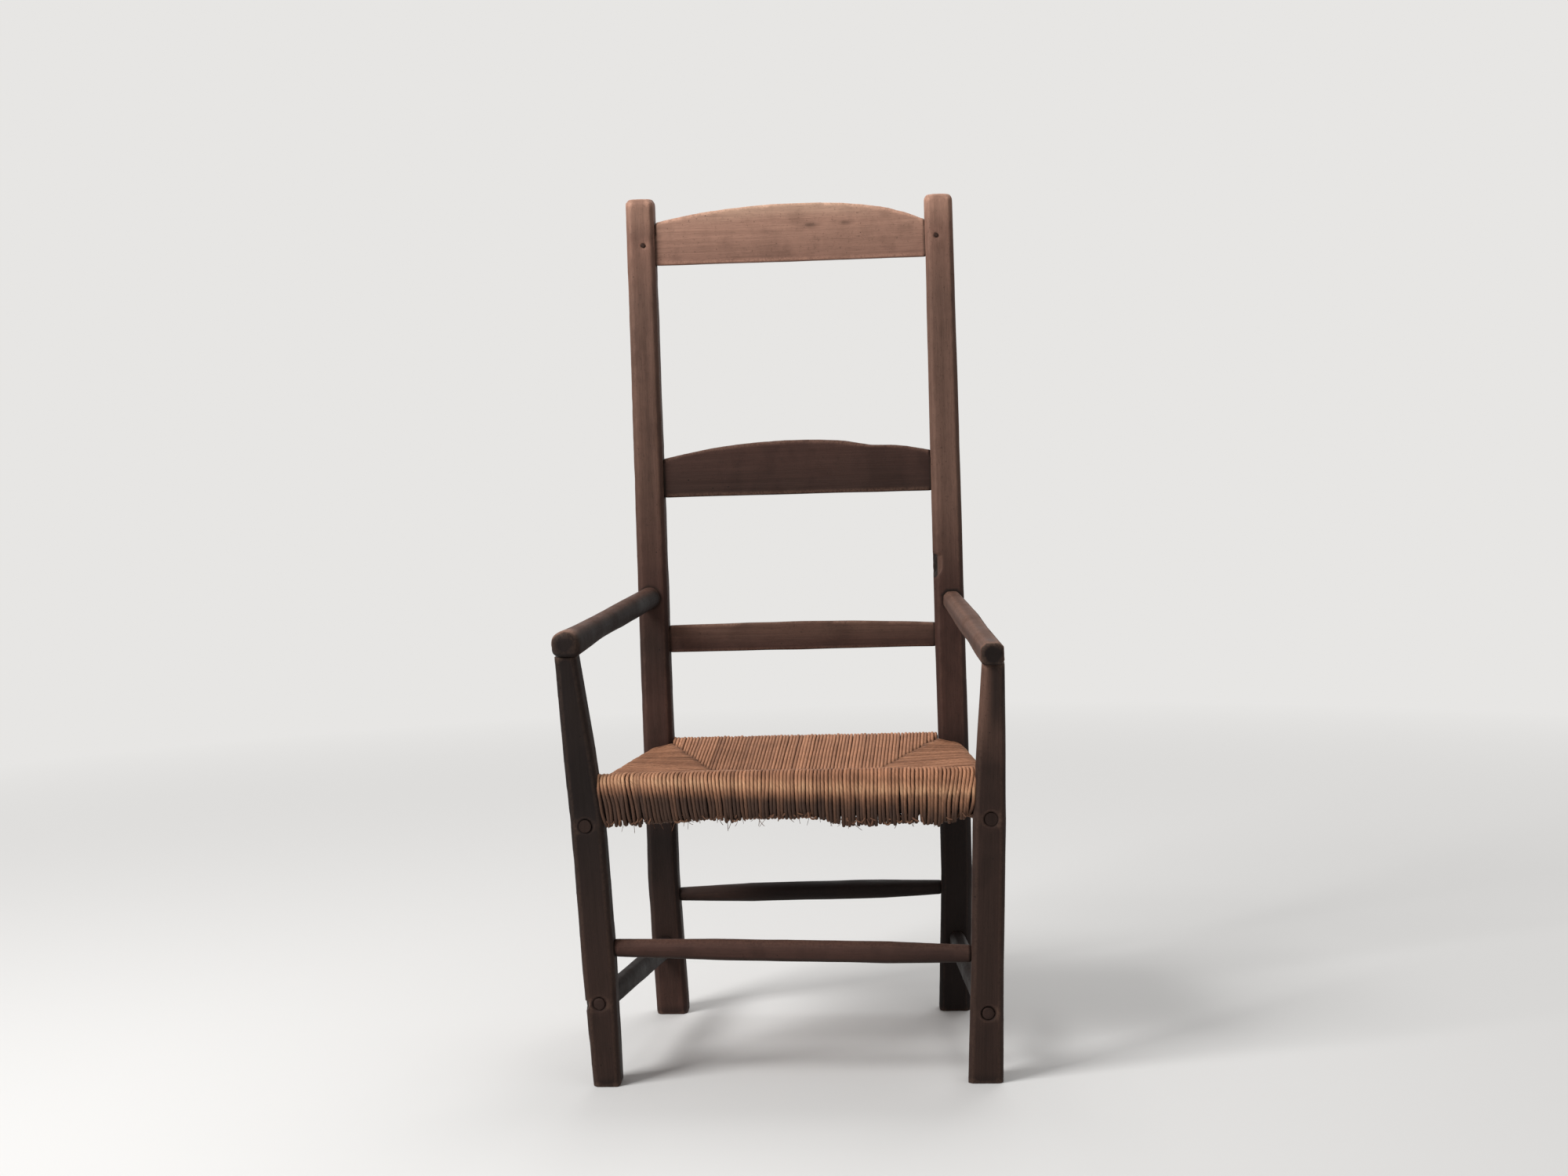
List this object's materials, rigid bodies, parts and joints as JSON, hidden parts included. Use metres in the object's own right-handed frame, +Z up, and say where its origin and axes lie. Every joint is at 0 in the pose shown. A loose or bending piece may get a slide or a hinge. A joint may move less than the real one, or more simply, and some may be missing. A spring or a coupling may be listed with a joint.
{
  "type": "rush seat armchair",
  "caption": "Old hand-made ladder-back armchair with a high straight back, plain arms, a woven rush seat frayed along its front, and worn brown wood.",
  "frame": {"origin": "on the floor, under the middle of the chair's box", "axes": "+Z up, -Y to the front of the chair, +X to the viewer's right when facing the front"},
  "size_m": [0.562, 0.4528, 1.144],
  "materials": {
    "wood": "worn, dry brown wood with dirt in the grain",
    "pale_wood": "worn brown wood, faded and rubbed paler",
    "dark_wood": "dark worn wood, dry and dirty",
    "rush": "dry twisted rush, golden brown, dusty in the furrows"
  },
  "bodies": {
    "root": {"back_post_left": "wood", "back_post_right": "wood", "front_leg_left": "dark_wood", "front_leg_right": "dark_wood", "arm_left": "wood", "arm_right": "wood", "top_slat": "pale_wood", "middle_slat": "wood", "lower_slat": "wood", "slat_pegs": "dark_wood", "seat_rail_front": "dark_wood", "seat_rail_back": "dark_wood", "seat_rail_left": "dark_wood", "seat_rail_right": "dark_wood", "stretcher_front": "wood", "stretcher_back": "dark_wood", "stretcher_left": "dark_wood", "stretcher_right": "dark_wood", "rush_seat": "rush"}
  },
  "joints": []
}
